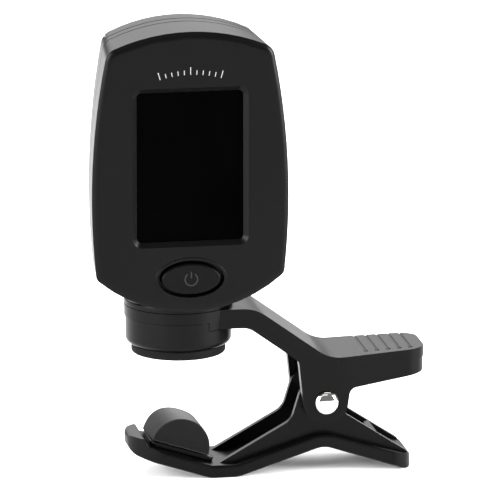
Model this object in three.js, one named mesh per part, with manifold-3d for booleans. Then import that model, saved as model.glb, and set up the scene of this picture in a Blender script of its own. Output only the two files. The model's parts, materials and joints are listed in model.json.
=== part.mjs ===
// Clip-on tuner for a guitar headstock, standing on its lower lever.
// Millimetres, +Z up. X runs along the clip (grips at +X), Y across it, display facing -Y.
// While the parts are built, X = 0 is the pivot, Y = 0 the clip's mid-plane, Z = 0 the surface
// it stands on. The last lines move the whole object so that its origin is the middle of the
// underside of its bounding box.

import * as THREE from 'three';
import { mergeVertices } from 'three/addons/utils/BufferGeometryUtils.js';
import Module from 'manifold-3d';

const wasm = await Module();
wasm.setup();

// ---------------------------------------------------------------- driving dimensions

const GAP = 0.3;                 // clearance between neighbouring pieces
const THIN_GAP = 0.12;           // glued or clamped faces
const DEG = Math.PI / 180;

// hub, where the display turns on the upper jaw
const HUB_X = -28.7;
const RING_R = 10.9;
const CUP_R = 10.65;
const JAW_PAD_R = 9.45;

// clip
const PIVOT_Z = 14.7;
const PIN_R = 1.5;
const PIN_HEAD_R = 2.4;
const PIN_HEAD_HEIGHT = 1.25;
const BOSS_R = 4.2;
const EAR_RIGHT_X = 3.9;
const UPPER_HALF_WIDTH = 8.4;
const SKIRT_OUTER = 8.1;
const SKIRT_INNER = 6.1;
const LOWER_HALF_WIDTH = 8.0;
const WALL_OUTER = 5.7;
const WALL_INNER = 4.4;
const UPPER_PLATE = 2.2;         // thickness of the upper lever's plate
const LOWER_PLATE = 2.6;         // thickness of the lower lever's plate
const LEVER_TOP_Z = 34.8;        // flat top of the upper lever, and of its ring
const GRIP_END_X = 20.8;
const GRIP_TAPER = { fromX: 4, inset: 1.7 };   // how the grip narrows towards its end
const CUP_SCREW = { offset: 7.4, shankR: 0.6, headR: 1.0, headHeight: 0.7, tipZ: 34.0 };

// jaws
const CUP_FLOOR_Z = 26.8;
const CUP_FLOOR = 1.0;
const JAW_PAD_BOTTOM_Z = 24.9;
const LOWER_PAD_R = 5.9;
const LOWER_PAD_HALF_WIDTH = 4.5;

// display head: its outline is four arcs, seen from the front
const HEAD_BOTTOM_Z = 36.4;
const HEAD_TOP_Z = 93.0;
const HEAD_HALF_WIDTH = 19.75;
const HEAD_WIDEST_Z = 59.4;
const HEAD_CROWN_R = 39.5;
const HEAD_SIDE_R = 145;
const HEAD_CHIN_R = 28.3;
const HEAD_TOP_CORNER = 3.0;
const HEAD_CHIN_CORNER = 1.8;
const HEAD_FRONT_Y = -15.5;
const HEAD_DEPTH = 17;
const HEAD_DRAFT = 1.9;          // how much narrower each side is at the back
const HEAD_RISE = 0.6;           // how much higher the crown is at the back
const HEAD_WALL = 1.05;
const FRONT_WALL = 1.6;
const FRONT_EDGE = { radius: 2.3, sweep: 40 };  // shallow roll-off that ends at a crisp edge
const BACK_EDGE = { radius: 1.4, sweep: 90 };
const PARTING_DEPTH = 9.5;       // front shell's depth
const HEAD_BACK_Y = HEAD_FRONT_Y + HEAD_DEPTH;
const PARTING_Y = HEAD_FRONT_Y + PARTING_DEPTH;

const WINDOW = { width: 21.3, height: 30.2, z: 65.8, corner: 0.9, chamfer: 0.95, recess: 0.9 };
const BUTTON = { halfWidth: 5.9, halfHeight: 3.05, z: 43.2, gap: 0.75, travel: 0.5, proud: 0.4 };
const LENS_THICKNESS = 0.9;
const LCD = { width: 24.6, height: 32.8, thickness: 1.4 };
const BACKLIGHT_THICKNESS = 0.9;
const BOARD_THICKNESS = 0.8;
const CELL = { radius: 10, thickness: 3.2, z: 76 };
const CONTACT = { x0: 4, x1: 8, z: CELL.z - CELL.radius - 0.9, sheet: 0.3 };
const DOOR = { halfWidth: 14.6, depth: 12.2, bottomZ: 61.5, wall: 1.2 };
const TONGUE = { clearance: 0.15, thickness: 0.5, reach: 0.6, root: 0.6, ledge: 0.8 };
const SCREW = { x: 12.3, lowZ: 45.6, highZ: 85.5, shankR: 0.8, headR: 1.7, postR: 2.2 };

// swivel and tilt hinge
const DISC_BOTTOM_Z = LEVER_TOP_Z + THIN_GAP;
const DISC_TOP_Z = HEAD_BOTTOM_Z - GAP;
const STEM_R = 3.1;
const TILT = { y: HEAD_BACK_Y + 3.5, z: 41.2, lugR: 3.1, pinR: 0.85, knuckle: 3.9, lug: 2.2 };

// ---------------------------------------------------------------- shape helpers

function toSolid(geometry) {
  const plain = geometry.clone();
  plain.deleteAttribute('normal');
  plain.deleteAttribute('uv');
  const merged = mergeVertices(plain, 1e-4);
  const mesh = new wasm.Mesh({
    numProp: 3,
    vertProperties: new Float32Array(merged.attributes.position.array),
    triVerts: new Uint32Array(merged.index.array),
  });
  return new wasm.Manifold(mesh);
}

function toGeometry(solid) {
  const mesh = solid.getMesh();
  const geometry = new THREE.BufferGeometry();
  geometry.setAttribute('position', new THREE.BufferAttribute(mesh.vertProperties, 3));
  geometry.setIndex(new THREE.BufferAttribute(mesh.triVerts, 1));
  geometry.computeVertexNormals();
  return geometry;
}

function union(first, ...rest) {
  return rest.reduce((sum, piece) => sum.add(piece), first);
}

function cut(body, ...tools) {
  return tools.reduce((rest, tool) => rest.subtract(tool), body);
}

// box between two corners
function box(x0, x1, y0, y1, z0, z1) {
  const geometry = new THREE.BoxGeometry(x1 - x0, y1 - y0, z1 - z0);
  geometry.translate((x0 + x1) / 2, (y0 + y1) / 2, (z0 + z1) / 2);
  return toSolid(geometry);
}

// round bar along +X, +Y or +Z from one end to the other, centred at (a, b) in the other two axes
function bar(axis, radius, from, to, a, b, sides = 20) {
  const geometry = new THREE.CylinderGeometry(radius, radius, to - from, sides);
  const middle = (from + to) / 2;
  if (axis === 'x') {
    geometry.rotateZ(Math.PI / 2);
    geometry.translate(middle, a, b);
  } else if (axis === 'y') {
    geometry.translate(a, middle, b);
  } else {
    geometry.rotateX(Math.PI / 2);
    geometry.translate(a, b, middle);
  }
  return toSolid(geometry);
}

// a shape drawn in X-Z, made into a solid from y0 to y1; a bevel rounds both end faces
function prismY(shape, y0, y1, bevel = 0, curveSegments = 3) {
  const geometry = new THREE.ExtrudeGeometry(shape, {
    depth: y1 - y0 - 2 * bevel,
    bevelEnabled: bevel > 0,
    bevelThickness: bevel,
    bevelSize: bevel,
    bevelOffset: -bevel,
    bevelSegments: 3,
    curveSegments,
  });
  geometry.rotateX(Math.PI / 2);
  geometry.translate(0, y1 - bevel, 0);
  return geometry;
}

// a shape drawn in X-Y, made into a solid from z0 to z1
function prismZ(shape, z0, z1, curveSegments = 3) {
  const geometry = new THREE.ExtrudeGeometry(shape, {
    depth: z1 - z0, bevelEnabled: false, curveSegments,
  });
  geometry.translate(0, 0, z0);
  return geometry;
}

// a shape drawn in Y-Z, made into a solid from x0 to x1
function prismX(shape, x0, x1, curveSegments = 4) {
  const geometry = new THREE.ExtrudeGeometry(shape, {
    depth: x1 - x0, bevelEnabled: false, curveSegments,
  });
  geometry.rotateX(Math.PI / 2);
  geometry.rotateZ(Math.PI / 2);
  geometry.translate(x0, 0, 0);
  return geometry;
}

// solid of revolution about the vertical through (x, y); the profile lists [radius, height]
function turned(profile, x, y, sides = 56) {
  const points = profile.map(([radius, height]) => new THREE.Vector2(radius, height));
  const geometry = new THREE.LatheGeometry(points, sides);
  geometry.rotateX(Math.PI / 2);
  geometry.translate(x, y, 0);
  return geometry;
}

// points of an arc, as [a, b] pairs
function arcPoints(centreA, centreB, radius, fromDeg, toDeg, steps) {
  const points = [];
  for (let i = 0; i <= steps; i += 1) {
    const angle = (fromDeg + (toDeg - fromDeg) * i / steps) * DEG;
    points.push([centreA + radius * Math.cos(angle), centreB + radius * Math.sin(angle)]);
  }
  return points;
}

// closed outline with a radius at each corner; corners are [a, b, radius]
function rounded(corners) {
  const shape = new THREE.Shape();
  corners.forEach(([a, b, radius = 0], i) => {
    const before = corners[(i + corners.length - 1) % corners.length];
    const after = corners[(i + 1) % corners.length];
    const corner = new THREE.Vector2(a, b);
    const back = new THREE.Vector2(before[0], before[1]).sub(corner).normalize();
    const ahead = new THREE.Vector2(after[0], after[1]).sub(corner).normalize();
    const half = Math.acos(THREE.MathUtils.clamp(back.dot(ahead), -1, 1)) / 2;
    const straight = Math.PI / 2 - half < 0.01;
    if (radius === 0 || straight) {
      if (i === 0) shape.moveTo(a, b);
      else shape.lineTo(a, b);
      return;
    }
    const tangent = radius / Math.tan(half);
    const start = corner.clone().addScaledVector(back, tangent);
    const end = corner.clone().addScaledVector(ahead, tangent);
    const middle = back.clone().add(ahead).normalize();
    const centre = corner.clone().addScaledVector(middle, radius / Math.sin(half));
    const fromAngle = Math.atan2(start.y - centre.y, start.x - centre.x);
    const toAngle = Math.atan2(end.y - centre.y, end.x - centre.x);
    const clockwise = back.cross(ahead) > 0;
    if (i === 0) shape.moveTo(start.x, start.y);
    else shape.lineTo(start.x, start.y);
    shape.absarc(centre.x, centre.y, radius, fromAngle, toAngle, clockwise);
  });
  shape.closePath();
  return shape;
}

function roundedRectangle(a0, a1, b0, b1, radius) {
  return rounded([[a0, b0, radius], [a1, b0, radius], [a1, b1, radius], [a0, b1, radius]]);
}

// a run of points shifted sideways by a distance, to the right of its direction of travel
function shifted(points, distance) {
  return points.map(([a, b], i) => {
    const here = new THREE.Vector2(a, b);
    const normals = [];
    if (i > 0) normals.push(here.clone().sub(new THREE.Vector2(...points[i - 1])));
    if (i < points.length - 1) normals.push(new THREE.Vector2(...points[i + 1]).sub(here));
    const sides = normals.map((run) => new THREE.Vector2(run.y, -run.x).normalize());
    const mitre = sides.reduce((sum, side) => sum.add(side), new THREE.Vector2()).normalize();
    const reach = distance / mitre.dot(sides[0]);
    return [a + mitre.x * reach, b + mitre.y * reach];
  });
}

// ---------------------------------------------------------------- scene graph helpers

const tuner = new THREE.Group();

function plastic(color, roughness) {
  return new THREE.MeshStandardMaterial({ color, roughness, metalness: 0 });
}

function metal(color, roughness) {
  return new THREE.MeshStandardMaterial({ color, roughness, metalness: 1 });
}

const satinBlack = plastic(0x1b1b1d, 0.45);
const buttonBlack = plastic(0x161618, 0.5);
const lensBlack = plastic(0x050506, 0.06);
const padRubber = plastic(0x2b2b2d, 0.9);
const padFoam = plastic(0x55565a, 0.95);
const boardGreen = plastic(0x1f5a34, 0.55);
const glassGrey = plastic(0x6d7368, 0.2);
const guideWhite = plastic(0xe8e8e4, 0.4);
const chipBlack = plastic(0x101012, 0.6);
const chrome = metal(0xd8d6d0, 0.08);
const steel = metal(0x9c9c9c, 0.35);
const coinSteel = metal(0xc2c2c0, 0.25);
const brass = metal(0xb8964a, 0.35);
const ceramic = plastic(0xdedad0, 0.6);

// puts one piece, a solid or a ready geometry, into the object under its name
function piece(name, shape, material, parent = tuner) {
  const geometry = shape.isBufferGeometry ? shape : toGeometry(shape);
  const mesh = new THREE.Mesh(geometry, material);
  mesh.name = name;
  parent.add(mesh);
  return mesh;
}

// ---------------------------------------------------------------- upper lever

// the upper lever's top, from the hub down the slope to the grip
const GRIP_RISE = 0.05;
const SLOPE = 0.725;
const KNEE = [0.6, 23.85];
const SHOULDER = [KNEE[0] - (LEVER_TOP_Z - KNEE[1]) / SLOPE, LEVER_TOP_Z];
const GRIP_END = [GRIP_END_X, KNEE[1] + GRIP_RISE * (GRIP_END_X - KNEE[0])];
const UPPER_TOP_LINE = [[HUB_X, LEVER_TOP_Z], SHOULDER, KNEE, GRIP_END];
const SHOULDER_R = 8;
const KNEE_R = 7.5;
const SKIRT_DEPTH = 4.0;
const SKIRT_START_X = -24.0;
const GRIP_RIB = { from: 3.2, to: 4.6, bottomZ: 20.6 };

function upperPlate() {
  const under = shifted(UPPER_TOP_LINE, UPPER_PLATE);
  const corners = [
    [...UPPER_TOP_LINE[0], 0],
    [...UPPER_TOP_LINE[1], SHOULDER_R],
    [...UPPER_TOP_LINE[2], KNEE_R],
    [...UPPER_TOP_LINE[3], 0.4],
    [...under[3], 0.3],
    [...under[2], KNEE_R + UPPER_PLATE],
    [...under[1], SHOULDER_R - UPPER_PLATE],
    [...under[0], 0],
  ];
  return toSolid(prismY(rounded(corners), -UPPER_HALF_WIDTH, UPPER_HALF_WIDTH, 0, 6));
}

// side view of one skirt with its ear round the pivot
function skirtShape() {
  const middle = shifted(UPPER_TOP_LINE, UPPER_PLATE / 2);
  const edge = shifted(UPPER_TOP_LINE, SKIRT_DEPTH);
  const slopeFoot = [-5.6, edge[1][1] - SLOPE * (-5.6 - edge[1][0])];
  return rounded([
    [SKIRT_START_X, middle[0][1], 0],
    [SKIRT_START_X, edge[0][1], 0.3],
    [...edge[1], SHOULDER_R - SKIRT_DEPTH],
    [...slopeFoot, 1.2],
    [-BOSS_R - 0.05, PIVOT_Z - BOSS_R, BOSS_R],
    [EAR_RIGHT_X, PIVOT_Z - BOSS_R, EAR_RIGHT_X - 0.05],
    [4.9, 17.4, 1.6],
    [GRIP_END_X, 19.7, 1.1],
    [GRIP_END_X, middle[3][1], 0],
    [...middle[2], 0],
    [...middle[1], 0],
  ]);
}

// plan of the lever: parallel sides that draw in along the grip, and a rounded grip end
function leverPlan(halfWidth, endX, cornerR, startX) {
  const taperR = 30;
  const endHalf = halfWidth - GRIP_TAPER.inset;
  return rounded([
    [startX, -halfWidth, 0],
    [GRIP_TAPER.fromX, -halfWidth, taperR],
    [endX, -endHalf, cornerR],
    [endX, endHalf, cornerR],
    [GRIP_TAPER.fromX, halfWidth, taperR],
    [startX, halfWidth, 0],
  ]);
}

// the two skirts; where they reach the hub they swell out to the sensor cup's radius
function upperSkirts() {
  const plan = toSolid(prismZ(leverPlan(SKIRT_OUTER, GRIP_END_X - 0.15, 4.4, SKIRT_START_X), 0, 40, 5));
  const side = toSolid(prismY(skirtShape(), -SKIRT_OUTER, SKIRT_OUTER)).intersect(plan);
  const collar = bar('z', CUP_R, LEVER_TOP_Z - SKIRT_DEPTH, LEVER_TOP_Z - 1, HUB_X, 0, 56)
    .intersect(box(SKIRT_START_X, 0, -RING_R, RING_R, 0, 40));
  const channel = toSolid(prismZ(
    leverPlan(SKIRT_INNER, GRIP_END_X - 2.2, 1, SKIRT_START_X - 1), 0, 40));
  return cut(union(side, collar), channel);
}

// five finger grooves, each running from a small round dimple off the far edge
function gripGrooves() {
  const first = 8.6;
  const spacing = 2.27;
  const dimple = { y: -5.0, radius: 0.5, depth: 1.1 };
  const tools = [];
  for (let i = 0; i < 5; i += 1) {
    const x = first + i * spacing;
    const z = KNEE[1] + GRIP_RISE * (x - KNEE[0]);
    tools.push(bar('y', 0.3, dimple.y, 12, x, z + 0.1, 8));
    tools.push(bar('z', dimple.radius, z - dimple.depth, z + 1, x, dimple.y, 14));
  }
  return tools;
}

function upperLever() {
  const plan = leverPlan(UPPER_HALF_WIDTH, GRIP_END_X, 4.6, HUB_X - 1);
  const plate = upperPlate().intersect(toSolid(prismZ(plan, 0, 40, 6)));
  const ring = bar('z', RING_R, LEVER_TOP_Z - UPPER_PLATE, LEVER_TOP_Z, HUB_X, 0, 56);
  const crossRib = box(
    GRIP_RIB.from, GRIP_RIB.to, -SKIRT_INNER - 0.2, SKIRT_INNER + 0.2, GRIP_RIB.bottomZ, KNEE[1] - 1);
  const body = union(plate, ring, upperSkirts(), crossRib);
  const bush = bar('z', STEM_R + GAP, 30, 36, HUB_X, 0, 24);
  const pinHole = bar('y', PIN_R + GAP, -10, 10, 0, PIVOT_Z);
  const screwHoles = [-1, 1].map((side) => bar(
    'z', CUP_SCREW.shankR + GAP, 30, CUP_SCREW.tipZ + GAP, HUB_X + side * CUP_SCREW.offset, 0, 12));
  return cut(body, bush, pinHole, ...screwHoles, ...gripGrooves());
}

piece('upper_lever', upperLever(), satinBlack);

// ---------------------------------------------------------------- lower lever

const FOOT_LEFT = [-23.4, 0];
const FOOT_RIGHT = [-17.8, 0];
const APEX = [-0.4, 5.6];
const TAIL = [16.6, 0];
const TAIL_END_X = 17.8;
const NOSE_X = -39.6;
const NOSE_TOP_Z = 8.3;
const NOSE_BACK_X = -36.3;
const NOSE_PLAN_R = 7.8;
const TAIL_PLAN_R = 4.5;
const LOWER_SIDE_R = 0.6;        // rounding of the lower lever's side edges
const JAW_SLOPE = -0.3226;
const JAW_ANGLE = Math.atan(JAW_SLOPE);

function lowerPlate() {
  const nose = [NOSE_X, FOOT_LEFT[1] + JAW_SLOPE * (NOSE_X - FOOT_LEFT[0])];
  const under = [nose, FOOT_LEFT, FOOT_RIGHT, APEX, TAIL];
  const above = shifted(under, -LOWER_PLATE);
  const jawTopAtNose = above[1][1] + JAW_SLOPE * (NOSE_BACK_X - above[1][0]);
  return rounded([
    [...nose, 2.6],
    [...FOOT_LEFT, 3],
    [...FOOT_RIGHT, 6],
    [...APEX, 5],
    [...TAIL, 1],
    [TAIL_END_X, 0, 0.7],
    [TAIL_END_X, 2.7, 0.9],
    [...above[3], 7.6],
    [...above[2], 3.4],
    [...above[1], 2],
    [NOSE_BACK_X, jawTopAtNose, 0.2],
    [NOSE_BACK_X, NOSE_TOP_Z, 0.65],
    [NOSE_X, NOSE_TOP_Z + 0.2, 1.1],
  ]);
}

// side view of one wall, with the boss round the pivot
function wallShape() {
  return rounded([
    [-22.4, 2.0, 0],
    [-6.7, 10.8, 3.5],
    [-BOSS_R - 0.05, PIVOT_Z + BOSS_R, BOSS_R],
    [EAR_RIGHT_X, PIVOT_Z + BOSS_R, EAR_RIGHT_X - 0.05],
    [EAR_RIGHT_X, 11.9, 1.5],
    [17.0, 3.3, 0.5],
    [16.6, 1.6, 0],
    [APEX[0], APEX[1] + 1, 0],
    [FOOT_RIGHT[0], 1, 0],
  ]);
}

function lowerLever() {
  const plan = rounded([
    [NOSE_X, -LOWER_HALF_WIDTH, NOSE_PLAN_R],
    [TAIL_END_X, -LOWER_HALF_WIDTH, TAIL_PLAN_R],
    [TAIL_END_X, LOWER_HALF_WIDTH, TAIL_PLAN_R],
    [NOSE_X, LOWER_HALF_WIDTH, NOSE_PLAN_R],
  ]);
  const plate = toSolid(prismY(
    lowerPlate(), -LOWER_HALF_WIDTH, LOWER_HALF_WIDTH, LOWER_SIDE_R, 5))
    .intersect(toSolid(prismZ(plan, -1, 12, 8)));
  const sides = toSolid(prismY(wallShape(), -WALL_OUTER, WALL_OUTER));
  const channel = box(-30, 20, -WALL_INNER, WALL_INNER, 0, 25);
  const walls = cut(sides, channel);
  const crossRib = box(9.6, 10.9, -WALL_INNER - 0.2, WALL_INNER + 0.2, 3.2, 7.4);
  const pinHole = bar('y', PIN_R + GAP, -10, 10, 0, PIVOT_Z);
  return cut(union(plate, walls, crossRib), pinHole);
}

piece('lower_lever', lowerLever(), satinBlack);

// a group lying on the sloping jaw: its X runs up the slope, its Z off the jaw's face
const jaw = new THREE.Group();
jaw.position.set(FOOT_LEFT[0], 0, FOOT_LEFT[1]);
jaw.rotation.y = -JAW_ANGLE;
tuner.add(jaw);

const CARRIER = { from: -13.5, to: 0.0, halfWidth: 5.0, thickness: 0.9 };
const LOWER_PAD_X = -7.0;

function padCarrier() {
  const plan = roundedRectangle(
    CARRIER.from, CARRIER.to, -CARRIER.halfWidth, CARRIER.halfWidth, 1.2);
  const bottom = LOWER_PLATE + THIN_GAP;
  return prismZ(plan, bottom, bottom + CARRIER.thickness);
}

function lowerJawPad() {
  const base = LOWER_PLATE + CARRIER.thickness + 2 * THIN_GAP;
  const shape = new THREE.Shape();
  shape.absarc(LOWER_PAD_X, base, LOWER_PAD_R, 0, Math.PI, false);
  shape.closePath();
  return prismY(shape, -LOWER_PAD_HALF_WIDTH, LOWER_PAD_HALF_WIDTH, 0, 14);
}

piece('pad_carrier', padCarrier(), satinBlack, jaw);
piece('lower_jaw_pad', lowerJawPad(), padFoam, jaw);

// ---------------------------------------------------------------- pivot

// rivet profile along its axis: domed head, then the shank
function domedHead(headY, direction) {
  const dome = [[0, PIN_HEAD_HEIGHT]];
  const steps = 4;
  for (let i = 1; i <= steps; i += 1) {
    const angle = (Math.PI / 2) * i / steps;
    const height = 0.25 + (PIN_HEAD_HEIGHT - 0.25) * Math.cos(angle);
    dome.push([PIN_HEAD_R * Math.sin(angle), height]);
  }
  const profile = [[0, 0], [PIN_HEAD_R, 0], ...dome.reverse()];
  const points = profile.map(([radius, height]) => new THREE.Vector2(radius, height));
  const geometry = new THREE.LatheGeometry(points, 24);
  if (direction < 0) geometry.rotateX(Math.PI);
  geometry.translate(0, headY, PIVOT_Z);
  return toSolid(geometry);
}

const HEAD_SEAT_Y = SKIRT_OUTER + THIN_GAP;
const shank = bar('y', PIN_R, -HEAD_SEAT_Y - 0.1, HEAD_SEAT_Y - THIN_GAP, 0, PIVOT_Z);
piece('pivot_pin', union(domedHead(-HEAD_SEAT_Y, -1), shank), chrome);
piece('pivot_cap', domedHead(HEAD_SEAT_Y, 1), chrome);

// torsion spring: a coil round the pin, one leg under the upper grip, one on the lower lever
const SPRING = { wireR: 0.45, coilR: 2.8, halfLength: 2.9, coils: 4 };
const UPPER_LEG = { startAngle: 110, length: 7.5 };
const LOWER_LEG = { endAngle: 232, length: 8.6 };

class SpringPath extends THREE.Curve {
  getPoint(t, target = new THREE.Vector3()) {
    const sweep = 360 * SPRING.coils + LOWER_LEG.endAngle - UPPER_LEG.startAngle;
    const coilLength = sweep * DEG * SPRING.coilR;
    const along = t * (UPPER_LEG.length + coilLength + LOWER_LEG.length) - UPPER_LEG.length;
    const onCoil = THREE.MathUtils.clamp(along, 0, coilLength);
    const angle = (UPPER_LEG.startAngle + sweep * onCoil / coilLength) * DEG;
    const y = SPRING.halfLength * (2 * onCoil / coilLength - 1);
    target.set(SPRING.coilR * Math.cos(angle), y, PIVOT_Z + SPRING.coilR * Math.sin(angle));
    const tangent = new THREE.Vector3(-Math.sin(angle), 0, Math.cos(angle));
    return target.addScaledVector(tangent, along - onCoil);
  }
}

function torsionSpring() {
  const section = new THREE.Shape();
  section.absarc(0, 0, SPRING.wireR, 0, 2 * Math.PI, false);
  return new THREE.ExtrudeGeometry(section, {
    steps: 72, curveSegments: 3, extrudePath: new SpringPath(), bevelEnabled: false,
  });
}

piece('torsion_spring', toSolid(torsionSpring()), steel);

// ---------------------------------------------------------------- upper jaw and its sensor

const CUP_TOP_Z = LEVER_TOP_Z - UPPER_PLATE - THIN_GAP;
const CUP_WALL = 1.2;
const CUP_EDGE_R = 1.3;
const PILLAR_R = 1.8;
const CUP_SCREW_HEAD_Z = CUP_FLOOR_Z + 0.1;

function sensorCup() {
  const inner = CUP_R - CUP_WALL;
  const profile = [
    [0, CUP_FLOOR_Z],
    ...arcPoints(CUP_R - CUP_EDGE_R, CUP_FLOOR_Z + CUP_EDGE_R, CUP_EDGE_R, -90, 0, 5),
    [CUP_R, CUP_TOP_Z],
    [inner, CUP_TOP_Z],
    [inner, CUP_FLOOR_Z + CUP_FLOOR],
    [0, CUP_FLOOR_Z + CUP_FLOOR],
  ];
  const skirtEdgeZ = LEVER_TOP_Z - SKIRT_DEPTH;
  const notches = [-1, 1].map((side) => {
    const near = side < 0 ? -RING_R : SKIRT_INNER - GAP;
    const far = side < 0 ? -SKIRT_INNER + GAP : RING_R;
    return box(SKIRT_START_X - THIN_GAP, 0, near, far, skirtEdgeZ - THIN_GAP, LEVER_TOP_Z);
  });
  const xOf = (side) => HUB_X + side * CUP_SCREW.offset;
  const pillars = [-1, 1].map((side) => bar(
    'z', PILLAR_R, CUP_FLOOR_Z + 0.2, CUP_TOP_Z, xOf(side), 0, 16));
  const shanks = [-1, 1].map((side) => bar(
    'z', CUP_SCREW.shankR + GAP, 20, LEVER_TOP_Z, xOf(side), 0, 12));
  const seats = [-1, 1].map((side) => bar(
    'z', CUP_SCREW.headR + GAP, 20, CUP_SCREW_HEAD_Z + CUP_SCREW.headHeight + THIN_GAP, xOf(side), 0, 16));
  return cut(union(toSolid(turned(profile, HUB_X, 0)), ...pillars), ...notches, ...shanks, ...seats);
}

function disc(radius, z0, z1, sides = 24) {
  return bar('z', radius, z0, z1, HUB_X, 0, sides);
}

function upperJawPad() {
  const top = CUP_FLOOR_Z - THIN_GAP;
  const edge = 0.35;
  return turned([
    [0, JAW_PAD_BOTTOM_Z],
    ...arcPoints(JAW_PAD_R - edge, JAW_PAD_BOTTOM_Z + edge, edge, -90, 0, 2),
    [JAW_PAD_R, top],
    [0, top],
  ], HUB_X, 0);
}

const PIEZO_Z = CUP_FLOOR_Z + CUP_FLOOR + THIN_GAP;

piece('upper_jaw_pad', toSolid(upperJawPad()), padRubber);
piece('piezo_disc', disc(5.2, PIEZO_Z, PIEZO_Z + 0.3), brass);
piece('piezo_ceramic', disc(3.7, PIEZO_Z + 0.3 + THIN_GAP, PIEZO_Z + 0.6 + THIN_GAP), ceramic);

// ---------------------------------------------------------------- swivel

const WASHER = { radius: 5.0, top: LEVER_TOP_Z - UPPER_PLATE - GAP, thickness: 0.6 };
const SWIVEL_SCREW = { headR: 2.3, headHeight: 1.2, shankR: 0.8 };

// lugs each side of the knuckle, standing on the disc behind the head
function lugShape() {
  return rounded([
    [TILT.y - TILT.lugR, DISC_TOP_Z - 0.4, 0],
    [TILT.y + TILT.lugR, DISC_TOP_Z - 0.4, 0],
    [TILT.y + TILT.lugR, TILT.z + TILT.lugR, TILT.lugR - 0.02],
    [TILT.y - TILT.lugR, TILT.z + TILT.lugR, TILT.lugR - 0.02],
  ]);
}

function swivelBase() {
  const edge = 0.3;
  const plate = toSolid(turned([
    [0, DISC_BOTTOM_Z],
    [RING_R, DISC_BOTTOM_Z],
    ...arcPoints(RING_R - edge, DISC_TOP_Z - edge, edge, 0, 90, 2),
    [0, DISC_TOP_Z],
  ], HUB_X, 0));
  const stem = bar('z', STEM_R, LEVER_TOP_Z - UPPER_PLATE, DISC_TOP_Z - 0.2, HUB_X, 0, 24);
  const lugs = [-1, 1].map((side) => {
    const inner = HUB_X + side * (TILT.knuckle + GAP);
    const outer = inner + side * TILT.lug;
    return toSolid(prismX(lugShape(), Math.min(inner, outer), Math.max(inner, outer)));
  });
  const screwHole = bar('z', SWIVEL_SCREW.shankR + GAP, 30, DISC_BOTTOM_Z + 0.3, HUB_X, 0, 12);
  const pinHole = bar('x', TILT.pinR + GAP, HUB_X - 12, HUB_X + 12, TILT.y, TILT.z, 16);
  return cut(union(plate, stem, ...lugs), screwHole, pinHole);
}

function swivelWasher() {
  const hole = disc(SWIVEL_SCREW.shankR + GAP, 20, 40, 12);
  return cut(disc(WASHER.radius, WASHER.top - WASHER.thickness, WASHER.top), hole);
}

function swivelScrew() {
  const headTop = WASHER.top - WASHER.thickness - THIN_GAP;
  const head = disc(SWIVEL_SCREW.headR, headTop - SWIVEL_SCREW.headHeight, headTop, 20);
  const shankPart = disc(SWIVEL_SCREW.shankR, headTop - 0.1, DISC_BOTTOM_Z, 12);
  const slot = box(HUB_X - 0.3, HUB_X + 0.3, -1.5, 1.5, 0, headTop - 0.7);
  return cut(union(head, shankPart), slot);
}

function tiltPin() {
  const end = TILT.knuckle + GAP + TILT.lug;
  const rod = bar('x', TILT.pinR, HUB_X - end, HUB_X + end + 0.1, TILT.y, TILT.z, 16);
  const cap = bar('x', 1.6, HUB_X + end + 0.1, HUB_X + end + 0.8, TILT.y, TILT.z, 16);
  return union(rod, cap);
}

piece('swivel_base', swivelBase(), satinBlack);
piece('swivel_washer', swivelWasher(), steel);
piece('swivel_screw', swivelScrew(), steel);
piece('tilt_pin', tiltPin(), steel);

// ---------------------------------------------------------------- display head, outline

// where two circles meet, nearest to a given point
function meetingPoint(first, second, near) {
  const start = new THREE.Vector2(first.a, first.b);
  const line = new THREE.Vector2(second.a, second.b).sub(start);
  const distance = line.length();
  const along = (first.r ** 2 - second.r ** 2 + distance ** 2) / (2 * distance);
  const off = Math.sqrt(first.r ** 2 - along ** 2);
  line.normalize();
  const across = new THREE.Vector2(-line.y, line.x);
  const options = [1, -1].map(
    (side) => start.clone().addScaledVector(line, along).addScaledVector(across, side * off));
  return options.sort((p, q) => p.distanceTo(near) - q.distanceTo(near))[0];
}

// the head's outline, shrunk inwards by an inset: crown, sides and chin are arcs
function headOutline(inset = 0) {
  const sideOffset = HEAD_SIDE_R - HEAD_HALF_WIDTH;
  const chin = { a: HUB_X, b: HEAD_BOTTOM_Z + HEAD_CHIN_R, r: HEAD_CHIN_R - inset };
  const right = { a: HUB_X - sideOffset, b: HEAD_WIDEST_Z, r: HEAD_SIDE_R - inset };
  const crown = { a: HUB_X, b: HEAD_TOP_Z - HEAD_CROWN_R, r: HEAD_CROWN_R - inset };
  const left = { a: HUB_X + sideOffset, b: HEAD_WIDEST_Z, r: HEAD_SIDE_R - inset };
  const sides = [chin, right, crown, left];
  const radii = [HEAD_CHIN_CORNER, HEAD_TOP_CORNER, HEAD_TOP_CORNER, HEAD_CHIN_CORNER];
  const corners = sides.map((side, i) => {
    const next = sides[(i + 1) % sides.length];
    const radius = Math.max(radii[i] - inset, 0.4);
    const shrunk = [side, next].map((circle) => ({ ...circle, r: circle.r - radius }));
    const across = i < 2 ? HEAD_HALF_WIDTH : -HEAD_HALF_WIDTH;
    const height = i === 0 || i === 3 ? HEAD_BOTTOM_Z : HEAD_TOP_Z;
    const centre = meetingPoint(...shrunk, new THREE.Vector2(HUB_X + across, height));
    return { centre, radius };
  });
  const angleTo = (circle, point) => Math.atan2(point.y - circle.b, point.x - circle.a) / DEG;
  return sides.flatMap((side, i) => {
    const before = corners[(i + 3) % 4].centre;
    const { centre, radius } = corners[i];
    const start = angleTo(side, before);
    const end = angleTo(side, centre);
    const turn = angleTo(sides[(i + 1) % 4], centre);
    const long = arcPoints(side.a, side.b, side.r, start, aheadOf(start, end), 12);
    const short = arcPoints(centre.x, centre.y, radius, end, aheadOf(end, turn), 5);
    return [...long.slice(0, -1), ...short.slice(0, -1)];
  });
}

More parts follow.
